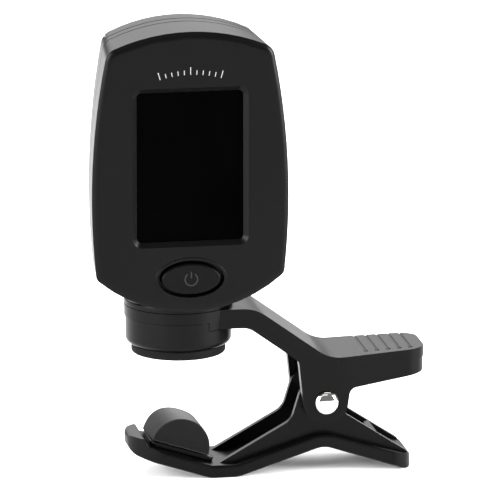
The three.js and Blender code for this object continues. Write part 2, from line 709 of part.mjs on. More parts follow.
// the same direction as an angle, in degrees, but never less than the one it follows
function aheadOf(before, angle) {
  return angle < before ? angle + 360 : angle;
}

// closed solid through outlines of equally many [x, z] points, from the lowest Y to the highest
function loft(sections) {
  const count = sections[0].outline.length;
  const positions = sections.flatMap(({ y, outline }) => outline.flatMap(([x, z]) => [x, y, z]));
  const triangles = [];
  for (let k = 0; k + 1 < sections.length; k += 1) {
    for (let i = 0; i < count; i += 1) {
      const here = k * count + i;
      const next = k * count + (i + 1) % count;
      triangles.push(here, here + count, next + count, here, next + count, next);
    }
  }
  const cap = (outline) => THREE.ShapeUtils.triangulateShape(
    outline.map(([x, z]) => new THREE.Vector2(x, z)), []);
  const last = (sections.length - 1) * count;
  cap(sections[0].outline).forEach(([p, q, r]) => triangles.push(p, q, r));
  cap(sections.at(-1).outline).forEach(([p, q, r]) => triangles.push(last + p, last + r, last + q));
  const geometry = new THREE.BufferGeometry();
  geometry.setAttribute('position', new THREE.Float32BufferAttribute(positions, 3));
  geometry.setIndex(triangles);
  return geometry;
}

// the head's outline from one Y to another; towards the back it narrows as the mould's draft
// does, and its crown rises. An edge is rounded by an arc that turns through its sweep and
// starts flush with the end.
function headBody(inset, y0, y1, frontEdge, backEdge) {
  const rings = [];
  const steps = 4;
  const addEdge = (y, inward, edge) => {
    if (!edge) {
      rings.push([y, inset]);
      return;
    }
    const arc = arcPoints(0, 0, edge.radius, 0, edge.sweep, steps);
    const width = arc[steps][1];
    const points = arc.map(([depth, out]) => [y + inward * (edge.radius - depth), inset + width - out]);
    rings.push(...(inward > 0 ? points : points.reverse()));
  };
  addEdge(y0, 1, frontEdge);
  addEdge(y1, -1, backEdge);
  return toSolid(loft(rings.map(([y, shrink]) => {
    const back = (y - HEAD_FRONT_Y) / HEAD_DEPTH;
    const narrowing = 1 - back * HEAD_DRAFT / HEAD_HALF_WIDTH;
    const rise = back * HEAD_RISE / (HEAD_TOP_Z - HEAD_WIDEST_Z);
    const outline = headOutline(shrink).map(([x, z]) => [
      HUB_X + (x - HUB_X) * narrowing,
      z + rise * Math.max(z - HEAD_WIDEST_Z, 0),
    ]);
    return { y, outline };
  })));
}

function slabY(y0, y1) {
  return box(HUB_X - 30, HUB_X + 30, y0, y1, 0, 120);
}

function ellipse(halfWidth, halfHeight, z) {
  const shape = new THREE.Shape();
  shape.absellipse(HUB_X, z, halfWidth, halfHeight, 0, 2 * Math.PI, false, 0);
  return shape;
}

function screwPlaces() {
  const places = [];
  [-1, 1].forEach((side) => {
    places.push({ x: HUB_X + side * SCREW.x, z: SCREW.lowZ, seatY: HEAD_BACK_Y - 0.9 });
    places.push({ x: HUB_X + side * SCREW.x, z: SCREW.highZ, seatY: PARTING_Y + 1.7 });
  });
  return places;
}

// ---------------------------------------------------------------- display head, shells

const POST_JOINT_Y = PARTING_Y - 0.6;

function windowRectangle(grow, corner) {
  return roundedRectangle(
    HUB_X - WINDOW.width / 2 - grow, HUB_X + WINDOW.width / 2 + grow,
    WINDOW.z - WINDOW.height / 2 - grow, WINDOW.z + WINDOW.height / 2 + grow, corner);
}

// the window's outline, grown outwards, as [x, z] points without repeats
function windowOutline(grow, corner) {
  const points = windowRectangle(grow, corner).extractPoints(6).shape;
  return points
    .filter((point, i) => point.distanceTo(points[(i + 1) % points.length]) > 1e-6)
    .map(({ x, y }) => [x, y]);
}

// the chamfered mouth of the window: wide at the face, narrowing inwards
function windowMouth() {
  const wide = windowOutline(WINDOW.chamfer, WINDOW.corner + WINDOW.chamfer);
  return toSolid(loft([
    { y: HEAD_FRONT_Y - 1, outline: wide },
    { y: HEAD_FRONT_Y, outline: wide },
    { y: HEAD_FRONT_Y + WINDOW.recess, outline: windowOutline(0, WINDOW.corner) },
  ]));
}

function frontBezel() {
  const outer = headBody(0, HEAD_FRONT_Y, HEAD_BACK_Y, FRONT_EDGE)
    .intersect(slabY(HEAD_FRONT_Y - 1, PARTING_Y - GAP / 2));
  const inner = headBody(HEAD_WALL, HEAD_FRONT_Y + FRONT_WALL, HEAD_BACK_Y);
  const lip = toSolid(prismY(
    ellipse(BUTTON.halfWidth + BUTTON.gap + 0.6, BUTTON.halfHeight + BUTTON.gap + 0.6, BUTTON.z),
    HEAD_FRONT_Y - 0.15, HEAD_FRONT_Y + 0.6, 0.15, 20));
  const posts = screwPlaces().map(({ x, z }) => bar(
    'y', SCREW.postR, HEAD_FRONT_Y + FRONT_WALL - 0.2, POST_JOINT_Y - GAP / 2, x, z, 12));
  const pilots = screwPlaces().map(({ x, z }) => bar(
    'y', SCREW.shankR + GAP, HEAD_FRONT_Y + FRONT_WALL + 1, HEAD_BACK_Y, x, z, 8));
  const pocket = toSolid(prismY(windowRectangle(1.4, WINDOW.corner + 0.6),
    HEAD_FRONT_Y + WINDOW.recess + 0.2, HEAD_FRONT_Y + FRONT_WALL + 1, 0, 3));
  const hole = toSolid(prismY(windowRectangle(0, WINDOW.corner),
    HEAD_FRONT_Y - 1, HEAD_FRONT_Y + FRONT_WALL + 1, 0, 3));
  const buttonHole = toSolid(prismY(
    ellipse(BUTTON.halfWidth + BUTTON.gap, BUTTON.halfHeight + BUTTON.gap, BUTTON.z),
    HEAD_FRONT_Y - 2, HEAD_FRONT_Y + FRONT_WALL + 1, 0, 20));
  const shell = union(cut(outer, inner), lip, ...posts);
  return cut(shell, windowMouth(), hole, pocket, buttonHole, ...pilots);
}

// the part of the head that the battery door takes, grown by a clearance
function doorZone(clearance) {
  return box(
    HUB_X - DOOR.halfWidth - clearance, HUB_X + DOOR.halfWidth + clearance,
    HEAD_FRONT_Y + DOOR.depth - clearance, HEAD_BACK_Y + 1,
    DOOR.bottomZ - clearance, HEAD_TOP_Z + 5);
}

function rearOuter() {
  return headBody(0, HEAD_FRONT_Y, HEAD_BACK_Y, FRONT_EDGE, BACK_EDGE);
}

// knuckle on the back of the head that the tilt pin passes through
function knuckle() {
  const shape = rounded([
    [HEAD_BACK_Y - 0.6, TILT.z - TILT.lugR, 0],
    [TILT.y + TILT.lugR, TILT.z - TILT.lugR, TILT.lugR - 0.02],
    [TILT.y + TILT.lugR, TILT.z + TILT.lugR, TILT.lugR - 0.02],
    [HEAD_BACK_Y - 0.6, TILT.z + TILT.lugR, 0],
  ]);
  return toSolid(prismX(shape, HUB_X - TILT.knuckle, HUB_X + TILT.knuckle));
}

// rim that reaches into the front shell and closes the parting line from inside; over the
// crown it goes on as a ledge under the door's edge
function tongue() {
  const start = PARTING_Y - TONGUE.reach;
  const end = HEAD_FRONT_Y + DOOR.depth + TONGUE.ledge;
  const outside = HEAD_WALL + TONGUE.clearance;
  const rim = headBody(outside, start, end);
  const root = headBody(HEAD_WALL - 0.2, PARTING_Y + GAP / 2, PARTING_Y + TONGUE.root - 0.1);
  const hollow = headBody(outside + TONGUE.thickness, start - 1, end + 1);
  const belowCrown = box(HUB_X - 30, HUB_X + 30, PARTING_Y + TONGUE.root, end + 1, 0, SCREW.highZ);
  return cut(union(rim, root), hollow, belowCrown);
}

function rearCover() {
  const outer = rearOuter().intersect(slabY(PARTING_Y + GAP / 2, HEAD_BACK_Y + 1));
  const inner = headBody(HEAD_WALL, PARTING_Y - 3, HEAD_BACK_Y - HEAD_WALL);
  const floor = headBody(HEAD_WALL - 0.1, PARTING_Y + 0.4, PARTING_Y + 1.4)
    .intersect(box(HUB_X - 30, HUB_X + 30, -30, 30, DOOR.bottomZ - 1.3, HEAD_TOP_Z));
  const shelf = box(
    HUB_X - DOOR.halfWidth - 1.6, HUB_X + DOOR.halfWidth + 1.6,
    PARTING_Y + 0.4, HEAD_BACK_Y - 0.5, DOOR.bottomZ - 1.5, DOOR.bottomZ - GAP);
  const posts = screwPlaces().map(({ x, z, seatY }) => bar(
    'y', SCREW.postR, POST_JOINT_Y + GAP / 2, seatY, x, z, 12));
  const contactSlot = box(
    HUB_X + CONTACT.x0 - GAP, HUB_X + CONTACT.x1 + GAP, PARTING_Y, PARTING_Y + 2,
    CONTACT.z - 2 - GAP, CELL.z - 5);
  const cellHole = bar('y', CELL.radius + 0.5, PARTING_Y - 1, DOOR_INSIDE_Y, HUB_X, CELL.z, 28);
  const shanks = screwPlaces().map(({ x, z }) => bar(
    'y', SCREW.shankR + GAP, HEAD_FRONT_Y, HEAD_BACK_Y + 1, x, z, 8));
  const seats = screwPlaces().map(({ x, z, seatY }) => bar(
    'y', SCREW.headR + GAP, seatY - 0.9, HEAD_BACK_Y + 2, x, z, 12));
  const pinHole = bar('x', TILT.pinR + GAP, HUB_X - 12, HUB_X + 12, TILT.y, TILT.z, 16);
  const shell = cut(outer, inner, doorZone(GAP));
  const body = union(shell, tongue(), floor, shelf, ...posts, knuckle());
  return cut(body, cellHole, contactSlot, ...shanks, ...seats, pinHole);
}

const DOOR_INSIDE_Y = HEAD_BACK_Y - DOOR.wall;

// door: the head's own skin over the cell, wrapping over the top edge, with a ribbed thumb rest
function batteryDoor() {
  const skin = rearOuter().intersect(doorZone(0));
  const inner = headBody(HEAD_WALL, PARTING_Y - 3, DOOR_INSIDE_Y);
  const ribs = [];
  for (let i = 0; i < 5; i += 1) {
    const z = DOOR.bottomZ + 6 + i * 1.6;
    ribs.push(bar('x', 0.3, HUB_X - 5, HUB_X + 5, HEAD_BACK_Y + 0.12, z, 8));
  }
  return cut(skin, inner, ...ribs);
}

piece('front_bezel', frontBezel(), satinBlack);
piece('rear_cover', rearCover(), satinBlack);
piece('battery_door', batteryDoor(), satinBlack);

// four self-tapping screws, driven in from the back
function headScrew({ x, z, seatY }) {
  const headY = seatY - 0.9 + THIN_GAP;
  const head = bar('y', SCREW.headR, headY, headY + 0.8, x, z, 12);
  const shankPart = bar('y', SCREW.shankR, HEAD_FRONT_Y + FRONT_WALL + 2, headY + 0.1, x, z, 8);
  const crossA = box(x - 0.9, x + 0.9, headY + 0.4, headY + 2, z - 0.2, z + 0.2);
  const crossB = box(x - 0.2, x + 0.2, headY + 0.4, headY + 2, z - 0.9, z + 0.9);
  return cut(union(head, shankPart), crossA, crossB);
}

screwPlaces().forEach((place, i) => piece(`head_screw_${i + 1}`, headScrew(place), steel));

// ---------------------------------------------------------------- display head, inside

const LENS_Y = HEAD_FRONT_Y + WINDOW.recess + 0.2 + THIN_GAP;
const LCD_Y = LENS_Y + LENS_THICKNESS + GAP;
const BACKLIGHT_Y = LCD_Y + LCD.thickness + THIN_GAP;
const BOARD_Y = BACKLIGHT_Y + BACKLIGHT_THICKNESS + GAP;
const BOARD_BACK_Y = BOARD_Y + BOARD_THICKNESS;

function panel(halfWidth, halfHeight, corner, y, thickness) {
  const outline = roundedRectangle(
    HUB_X - halfWidth, HUB_X + halfWidth,
    WINDOW.z - halfHeight, WINDOW.z + halfHeight, corner);
  return toSolid(prismY(outline, y, y + thickness, 0, 3));
}

function displayLens() {
  const outline = windowRectangle(1.4 - GAP, WINDOW.corner + 0.4);
  return toSolid(prismY(outline, LENS_Y, LENS_Y + LENS_THICKNESS, 0, 3));
}

// the board, with its four corners notched for the screw posts
function circuitBoard() {
  const reach = SCREW.postR + GAP;
  const notches = [-1, 1].flatMap((side) => {
    const edge = HUB_X + side * (SCREW.x - reach);
    const far = HUB_X + side * 30;
    const x = [Math.min(edge, far), Math.max(edge, far)];
    return [
      box(...x, -30, 10, 0, SCREW.lowZ + reach),
      box(...x, -30, 10, SCREW.highZ - reach, 120),
    ];
  });
  return cut(headBody(2.6, BOARD_Y, BOARD_BACK_Y), ...notches);
}

// push switch on the front of the board, its plunger just behind the button
function powerSwitch() {
  const front = BOARD_Y - THIN_GAP;
  const body = box(HUB_X - 2.6, HUB_X + 2.6, front - 1.1, front, BUTTON.z - 2.6, BUTTON.z + 2.6);
  const plunger = bar('y', 1.3, SWITCH_TIP_Y, front - 1, HUB_X, BUTTON.z, 12);
  return union(body, plunger);
}

const BUTTON_BACK_Y = HEAD_FRONT_Y + FRONT_WALL + GAP + 0.8;
const SWITCH_TIP_Y = BUTTON_BACK_Y + BUTTON.travel + GAP;

// flat elliptical cap with a rounded rim, and a flange that keeps it behind the face
function powerButton() {
  const cap = prismY(ellipse(BUTTON.halfWidth, BUTTON.halfHeight, BUTTON.z),
    HEAD_FRONT_Y - BUTTON.proud, BUTTON_BACK_Y - 0.2, 0.3, 20);
  const flange = prismY(
    ellipse(BUTTON.halfWidth + 1.6, BUTTON.halfHeight + 1.6, BUTTON.z),
    BUTTON_BACK_Y - 0.8, BUTTON_BACK_Y, 0, 10);
  return union(toSolid(cap), toSolid(flange));
}

// the cell and its two contact springs, soldered to the back of the board
const CELL_Y = PARTING_Y + 0.2;
const CELL_BACK_Y = CELL_Y + CELL.thickness;
const CONTACT_Y = BOARD_BACK_Y + 0.1;

function contactNegative() {
  const [left, right] = [HUB_X - 3, HUB_X + 3];
  const back = CELL_Y - 0.15;
  const foot = box(left, right, CONTACT_Y, CONTACT_Y + CONTACT.sheet, 66.5, 70);
  const rise = box(left, right, CONTACT_Y, back, 70 - CONTACT.sheet, 70);
  const arm = box(left, right, back - CONTACT.sheet, back, 70 - CONTACT.sheet, 79);
  return union(foot, rise, arm);
}

function contactPositive() {
  const [left, right] = [HUB_X + CONTACT.x0, HUB_X + CONTACT.x1];
  const front = CELL_BACK_Y + 0.2;
  const back = front + CONTACT.sheet;
  const top = CONTACT.z;
  const foot = box(left, right, CONTACT_Y, CONTACT_Y + CONTACT.sheet, top - 2, top);
  const rise = box(left, right, CONTACT_Y, back, top - CONTACT.sheet, top);
  const arm = box(left, right, front, back, top - CONTACT.sheet, top + 6);
  return union(foot, rise, arm);
}

piece('display_lens', displayLens(), lensBlack);
piece('lcd_panel', panel(LCD.width / 2, LCD.height / 2, 0.6, LCD_Y, LCD.thickness), glassGrey);
piece('backlight', panel(12, 16, 0.6, BACKLIGHT_Y, BACKLIGHT_THICKNESS), guideWhite);
piece('circuit_board', circuitBoard(), boardGreen);
piece('tuner_chip', box(HUB_X - 4, HUB_X + 4, BOARD_BACK_Y + THIN_GAP, BOARD_BACK_Y + 1.6, 49, 57),
  chipBlack);
piece('power_switch', powerSwitch(), chipBlack);
piece('power_button', powerButton(), buttonBlack);
piece('coin_cell', bar('y', CELL.radius, CELL_Y, CELL_BACK_Y, HUB_X, CELL.z, 36), coinSteel);
piece('contact_negative', contactNegative(), brass);
piece('contact_positive', contactPositive(), brass);

// ---------------------------------------------------------------- sensor cup and its screws

// the cup's screws sit in its floor, under the pad, and run up its pillars into the ring
function cupScrew(side) {
  const x = HUB_X + side * CUP_SCREW.offset;
  const headTop = CUP_SCREW_HEAD_Z + CUP_SCREW.headHeight;
  const head = bar('z', CUP_SCREW.headR, CUP_SCREW_HEAD_Z, headTop, x, 0, 12);
  const shankPart = bar('z', CUP_SCREW.shankR, headTop - 0.1, CUP_SCREW.tipZ, x, 0, 8);
  return union(head, shankPart);
}

piece('sensor_cup', sensorCup(), satinBlack);
piece('cup_screw_1', cupScrew(-1), steel);
piece('cup_screw_2', cupScrew(1), steel);

// ---------------------------------------------------------------- origin

tuner.updateMatrixWorld(true);
const extent = new THREE.Box3().setFromObject(tuner, true);
const middle = extent.getCenter(new THREE.Vector3());
tuner.position.set(-middle.x, -middle.y, -extent.min.z);

export default tuner;
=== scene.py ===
"""Looks of the clip-on tuner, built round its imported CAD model. Metres, +Z up, display facing -Y."""
import json
import math

import bmesh
import bpy
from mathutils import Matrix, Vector, noise


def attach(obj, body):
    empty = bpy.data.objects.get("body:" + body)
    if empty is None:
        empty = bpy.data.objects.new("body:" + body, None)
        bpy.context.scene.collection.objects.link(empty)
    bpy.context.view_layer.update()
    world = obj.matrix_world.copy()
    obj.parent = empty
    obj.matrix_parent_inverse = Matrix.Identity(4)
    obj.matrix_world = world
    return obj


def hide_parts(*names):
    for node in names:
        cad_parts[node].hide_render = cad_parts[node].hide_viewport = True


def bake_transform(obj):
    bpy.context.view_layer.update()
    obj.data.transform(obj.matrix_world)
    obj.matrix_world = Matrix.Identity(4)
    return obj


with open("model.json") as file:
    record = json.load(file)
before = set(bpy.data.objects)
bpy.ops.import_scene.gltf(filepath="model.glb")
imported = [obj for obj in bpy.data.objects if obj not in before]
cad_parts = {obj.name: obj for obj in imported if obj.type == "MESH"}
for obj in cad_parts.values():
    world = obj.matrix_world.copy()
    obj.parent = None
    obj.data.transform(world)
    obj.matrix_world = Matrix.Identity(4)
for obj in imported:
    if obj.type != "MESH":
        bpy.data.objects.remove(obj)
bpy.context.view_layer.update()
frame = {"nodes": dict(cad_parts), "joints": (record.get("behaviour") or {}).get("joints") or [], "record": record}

MM = 0.001
nodes = frame["nodes"]
record = frame["record"]
joints = {joint["name"]: joint for joint in frame["joints"]}
hub = Vector(joints["head_swivel"]["pos_m"])
pivot = Vector(joints["clip_pivot"]["pos_m"])


# ---------------------------------------------------------------- camera, light and floor

CAMERA_AZIMUTH = -10.0
CAMERA_ELEVATION = 13.5
CAMERA_DISTANCE = 1.5
VIEW_WIDTH = 0.1
SENSOR_WIDTH = 36.0
VIEW_CENTRE = Vector((-14.13, 0.0, 30.12)) * MM    # from the clip's pin

WORLD_STRENGTH = 0.20
FLOOR_SIZE = 8.0
LIT_PLACE = (0.0, 0.0, 0.05)
PANELS = {                   # place and size in metres, power in watts
    "overhead": {"place": (0.0, 0.38, 0.90), "size": (1.4, 1.1), "power": 14.5},
    "behind": {"place": (0.0, 1.4, 0.65), "size": (2.2, 0.8), "power": 13.0},
    "left_side": {"place": (-0.80, -0.40, 0.35), "size": (0.9, 0.6), "power": 24.0},
    "right_side": {"place": (0.85, -0.50, 0.30), "size": (0.28, 0.6), "power": 26.0},
    "front_top": {"place": (-0.15, -0.9, 0.95), "size": (0.9, 0.5), "power": 1.0},
}


def aim(obj, direction):
    """Turns a camera or light so that it looks along a direction."""
    obj.rotation_euler = Vector(direction).to_track_quat("-Z", "Y").to_euler()


def make_camera():
    """A long lens, as in the picture, looking at the middle of the frame."""
    azimuth, elevation = math.radians(CAMERA_AZIMUTH), math.radians(CAMERA_ELEVATION)
    back = Vector((
        math.sin(azimuth) * math.cos(elevation),
        -math.cos(azimuth) * math.cos(elevation),
        math.sin(elevation),
    ))
    target = pivot + VIEW_CENTRE
    data = bpy.data.cameras.new("camera")
    data.sensor_width = SENSOR_WIDTH
    data.lens = data.sensor_width * CAMERA_DISTANCE / VIEW_WIDTH
    data.clip_start, data.clip_end = 0.01, 20.0
    camera = bpy.data.objects.new("camera", data)
    camera.location = target + back * CAMERA_DISTANCE
    aim(camera, -back)
    bpy.context.scene.collection.objects.link(camera)
    bpy.context.scene.camera = camera


def panel_light(name, place, size, power):
    """A large rectangular soft box turned towards the object."""
    data = bpy.data.lights.new(name, "AREA")
    data.shape = "RECTANGLE"
    data.size, data.size_y = size
    data.energy = power
    light = bpy.data.objects.new(name, data)
    light.location = place
    aim(light, Vector(LIT_PLACE) - Vector(place))
    bpy.context.scene.collection.objects.link(light)


def make_studio():
    """White floor, dim even surroundings, and soft boxes above, behind, in front and at the sides."""
    world = bpy.data.worlds.new("surroundings")
    world.use_nodes = True
    background = world.node_tree.nodes["Background"]
    background.inputs["Color"].default_value = (1.0, 1.0, 1.0, 1.0)
    background.inputs["Strength"].default_value = WORLD_STRENGTH
    bpy.context.scene.world = world
    bpy.context.scene.view_settings.view_transform = "Standard"

    for name, panel in PANELS.items():
        panel_light(name, **panel)

    bpy.ops.mesh.primitive_plane_add(size=FLOOR_SIZE)
    floor = bpy.context.object
    floor.name = "floor"
    floor.data.materials.append(floor_material())


# ---------------------------------------------------------------- materials

class Maker:
    """A new node material with short ways to add what the finishes share."""

    def __init__(self, name):
        self.material = bpy.data.materials.new(name)
        self.material.use_nodes = True
        self.tree = self.material.node_tree
        self.shader = self.tree.nodes["Principled BSDF"]
        self.place = self.add("ShaderNodeTexCoord").outputs["Object"]

    def add(self, kind, **settings):
        node = self.tree.nodes.new(kind)
        for key, value in settings.items():
            setattr(node, key, value)
        return node

    def set(self, **sockets):
        """Uniform values, straight on the shader's own sockets."""
        for key, value in sockets.items():
            self.shader.inputs[key.replace("_", " ")].default_value = value

    def link(self, source, socket):
        self.tree.links.new(source, socket)

    def noise(self, scale, detail=2.0, roughness=0.5, stretch=None):
        node = self.add("ShaderNodeTexNoise")
        node.inputs["Scale"].default_value = scale
        node.inputs["Detail"].default_value = detail
        node.inputs["Roughness"].default_value = roughness
        place = self.place
        if stretch:
            mapping = self.add("ShaderNodeMapping")
            mapping.inputs["Scale"].default_value = stretch
            self.link(place, mapping.inputs["Vector"])
            place = mapping.outputs["Vector"]
        self.link(place, node.inputs["Vector"])
        return node.outputs["Fac"]

    def spread(self, value, low, high, start=0.3, end=0.7):
        """Maps a 0 to 1 value onto a range of numbers."""
        node = self.add("ShaderNodeMapRange")
        node.inputs["From Min"].default_value = start
        node.inputs["From Max"].default_value = end
        node.inputs["To Min"].default_value = low
        node.inputs["To Max"].default_value = high
        self.link(value, node.inputs["Value"])
        return node.outputs["Result"]

    def colours(self, value, *stops):
        """Maps a value onto a run of (position, colour) stops."""
        node = self.add("ShaderNodeValToRGB")
        ramp = node.color_ramp
        while len(ramp.elements) < len(stops):
            ramp.elements.new(0.5)
        for element, (position, colour) in zip(ramp.elements, stops):
            element.position = position
            element.color = (*colour, 1.0)
        self.link(value, node.inputs["Fac"])
        return node.outputs["Color"]

    def bumps(self, *layers):
        """Bump from (height, strength, distance in metres) layers, the last one on top."""
        normal = None
        for height, strength, distance in layers:
            node = self.add("ShaderNodeBump")
            node.inputs["Strength"].default_value = strength
            node.inputs["Distance"].default_value = distance
            self.link(height, node.inputs["Height"])
            if normal:
                self.link(normal, node.inputs["Normal"])
            normal = node.outputs["Normal"]
        self.link(normal, self.shader.inputs["Normal"])


def grey(level, tint=0.0):
    """A grey, bluer for a positive tint and warmer for a negative one."""
    return (level * (1 - tint), level, level * (1 + tint))


def floor_material():
    """Matt white board with a barely uneven tone."""
    m = Maker("studio_floor")
    m.set(Roughness=0.8, Specular_IOR_Level=0.1)
    m.link(m.colours(m.noise(3.0), (0.3, grey(0.93)), (0.7, grey(0.95))),
           m.shader.inputs["Base Color"])
    return m.material


def satin_shell(name="satin_shell", tone=0.0013, shine=0.09):
    """Moulded black plastic with the fine even grain of a spark-eroded mould."""
    m = Maker(name)
    m.set(Specular_IOR_Level=shine)
    m.link(m.colours(m.noise(80.0, 3.0), (0.3, grey(tone * 0.85)), (0.7, grey(tone * 1.15))),
           m.shader.inputs["Base Color"])
    m.link(m.spread(m.noise(4500.0, 2.0), 0.28, 0.33), m.shader.inputs["Roughness"])
    grain = m.noise(11000.0, 1.0)
    flow = m.noise(140.0, 1.0)
    m.bumps((flow, 0.04, 0.00004), (grain, 0.12, 0.00002))
    return m.material


def lens_black():
    """Hard-coated clear window over an unlit display: near-black, with faint polish haze."""
    m = Maker("lens_black")
    m.set(Specular_IOR_Level=0.004)
    m.link(m.colours(m.noise(50.0), (0.3, grey(0.0001)), (0.7, grey(0.0004))),
           m.shader.inputs["Base Color"])
    m.link(m.spread(m.noise(2500.0, 3.0), 0.04, 0.09), m.shader.inputs["Roughness"])
    return m.material


def soft_pad(name, tone, cell_scale, depth, fuzz):
    """Closed-cell foam or rubber: matt, finely pitted, with a light bloom at grazing angles."""
    m = Maker(name)
    m.set(Specular_IOR_Level=0.05, Sheen_Weight=fuzz, Sheen_Roughness=0.45)
    cells = m.add("ShaderNodeTexVoronoi")
    cells.inputs["Scale"].default_value = cell_scale
    m.link(m.place, cells.inputs["Vector"])
    cell = cells.outputs["Distance"]
    patches = m.noise(260.0, 3.0)
    m.link(m.colours(patches, (0.3, grey(tone * 0.85)), (0.7, grey(tone * 1.15))),
           m.shader.inputs["Base Color"])
    m.link(m.spread(patches, 0.62, 0.74), m.shader.inputs["Roughness"])
    m.bumps((m.noise(1500.0, 2.0), 0.10, 0.00005), (cell, 0.25, depth))
    return m.material


def simple(name, colour, roughness, metallic=0.0, specular=0.5, scale=900.0, stretch=None):
    """An even material whose tone and polish vary a little; stretch draws the grain out."""
    m = Maker(name)
    m.set(Metallic=metallic, Specular_IOR_Level=specular)
    low = tuple(c * 0.92 for c in colour)
    grain = m.noise(scale, 2.0, stretch=stretch)
    m.link(m.colours(m.noise(200.0, 3.0), (0.3, low), (0.7, colour)), m.shader.inputs["Base Color"])
    m.link(m.spread(grain, roughness * 0.85, roughness * 1.15), m.shader.inputs["Roughness"])
    m.bumps((grain, 0.05, 0.00002))
    return m.material


def make_finishes():
    """Every finish by its slot's name in the record, and two more for the mark and the print."""
    return {
        "satin_shell": satin_shell(),
        "button_black": satin_shell("button_black", 0.0015, 0.07),
        "lens_black": lens_black(),
        "pad_rubber": soft_pad("pad_rubber", 0.0040, 9000.0, 0.00001, 0.02),
        "pad_foam": soft_pad("pad_foam", 0.0030, 7000.0, 0.00002, 0.22),
        "bright_pin": simple("bright_pin", grey(0.86, -0.02), 0.07, 1.0, scale=3000.0),
        "steel": simple("steel", grey(0.45), 0.28, 1.0, scale=2500.0, stretch=(1.0, 1.0, 8.0)),
        "coin_metal": simple("coin_metal", grey(0.50), 0.26, 1.0, stretch=(6.0, 1.0, 1.0)),
        "brass": simple("brass", (0.60, 0.44, 0.18), 0.28, 1.0, scale=1800.0),
        "white_ceramic": simple("white_ceramic", grey(0.70), 0.40),
        "lcd_grey": simple("lcd_grey", (0.16, 0.18, 0.15), 0.15),
        "guide_white": simple("guide_white", grey(0.80), 0.30),
        "board_green": simple("board_green", (0.013, 0.10, 0.035), 0.40, scale=400.0),
        "chip_black": simple("chip_black", grey(0.01), 0.50, scale=5000.0),
        "mark_satin": satin_shell("mark_satin", 0.0090, 0.24),
        "print_grey": simple("print_grey", grey(0.28), 0.50, specular=0.2),
    }


def paint(obj, finish):
    """Gives the whole of an object one finish."""
    obj.data.materials.clear()
    obj.data.materials.append(finishes[finish])
    for polygon in obj.data.polygons:
        polygon.material_index = 0


# ---------------------------------------------------------------- CAD nodes that stay

SMOOTH_ANGLE = math.radians(32)
FLAT_ANGLE = math.radians(0.6)
WELD_DISTANCE = 1e-6
USUAL_ROUNDING = 0.15        # millimetres
EDGE_ROUNDING = {"upper_lever": 0.3, "lower_lever": 0.35, "sensor_cup": 0.2}


def refine(obj, rounding):
    """Rounds a CAD node's sharp edges slightly and gives it clean shading."""
    obj.data.shade_smooth()
    obj.data.set_sharp_from_angle(angle=SMOOTH_ANGLE)
    weld = obj.modifiers.new("weld", "WELD")
    weld.merge_threshold = WELD_DISTANCE
    flat = obj.modifiers.new("flat", "DECIMATE")
    flat.decimate_type = "DISSOLVE"
    flat.angle_limit = FLAT_ANGLE
    edge = obj.modifiers.new("edge", "BEVEL")
    edge.width = rounding * MM
    edge.segments = 2
    edge.limit_method = "ANGLE"
    edge.angle_limit = SMOOTH_ANGLE
    edge.harden_normals = True
    normals = obj.modifiers.new("normals", "WEIGHTED_NORMAL")
    normals.keep_sharp = True


def dress_cad_nodes():
    """Gives every CAD node its finish and rounded edges."""
    for part in record["subparts"]:
        obj = nodes[part["node"]]
        paint(obj, part["material_slot"])
        refine(obj, EDGE_ROUNDING.get(part["node"], USUAL_ROUNDING))


# ---------------------------------------------------------------- pieces made here

def new_piece(name, points, faces, finish, body, *replaced):
    """A mesh piece with one finish that rides on a body and may stand for CAD nodes."""
    mesh = bpy.data.meshes.new(name)
    mesh.from_pydata([tuple(point) for point in points], [], faces)
    shape = bmesh.new()
    shape.from_mesh(mesh)
    bmesh.ops.remove_doubles(shape, verts=shape.verts, dist=1e-7)
    bmesh.ops.recalc_face_normals(shape, faces=shape.faces)
    shape.to_mesh(mesh)
    shape.free()
    mesh.shade_smooth()
    mesh.set_sharp_from_angle(angle=SMOOTH_ANGLE)
    obj = bpy.data.objects.new(name, mesh)
    bpy.context.scene.collection.objects.link(obj)
    paint(obj, finish)
    if body:
        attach(obj, body)
    if replaced:
        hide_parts(*replaced)
    return obj


def ring_faces(rings, count, closed=True):
    """Quads between equally long rings of points that follow one another."""
    faces = []
    for ring in range(rings - 1):
        for i in range(count if closed else count - 1):
            after = (i + 1) % count
            here, above = ring * count, (ring + 1) * count
            faces.append((here + i, here + after, above + after, above + i))
    return faces


def lathe(profile, centre, along, across, sides):
    """Points and faces of a profile of (radius, distance) pairs turned about a line."""
    side = along.cross(across)
    points = []
    for radius, distance in profile:
        for i in range(sides):
            angle = 2 * math.pi * i / sides
            spoke = across * math.cos(angle) + side * math.sin(angle)
            points.append(centre + along * distance * MM + spoke * radius * MM)
    faces = ring_faces(len(profile), sides)
    faces.append(tuple(range(sides)))
    faces.append(tuple(range(len(points) - sides, len(points))))
    return points, faces


def ellipse_arc(radius_a, radius_b, centre_a, centre_b, start, end, steps):
    """Points of an elliptical arc between two angles in degrees."""
    points = []
    for i in range(steps + 1):
        angle = math.radians(start + (end - start) * i / steps)
        points.append((centre_a + radius_a * math.cos(angle), centre_b + radius_b * math.sin(angle)))
    return points


NOISE_SEED = 7


def roughened(points, scale, height):
    """Nudges points by smooth noise from a fixed seed, for the uneven surface of a soft part."""
    noise.seed_set(NOISE_SEED)
    return [point + noise.noise_vector(point * scale) * height for point in points]


CENTRE_RADIUS = 0.02         # a lathe's end ring, closed by a tiny face
PIN_HEAD = {"radius": 2.4, "height": 1.25, "rim": 0.22, "edge": 0.08, "seat": 8.22}
PIN_SHANK = {"radius": 1.5, "length": 7.9}


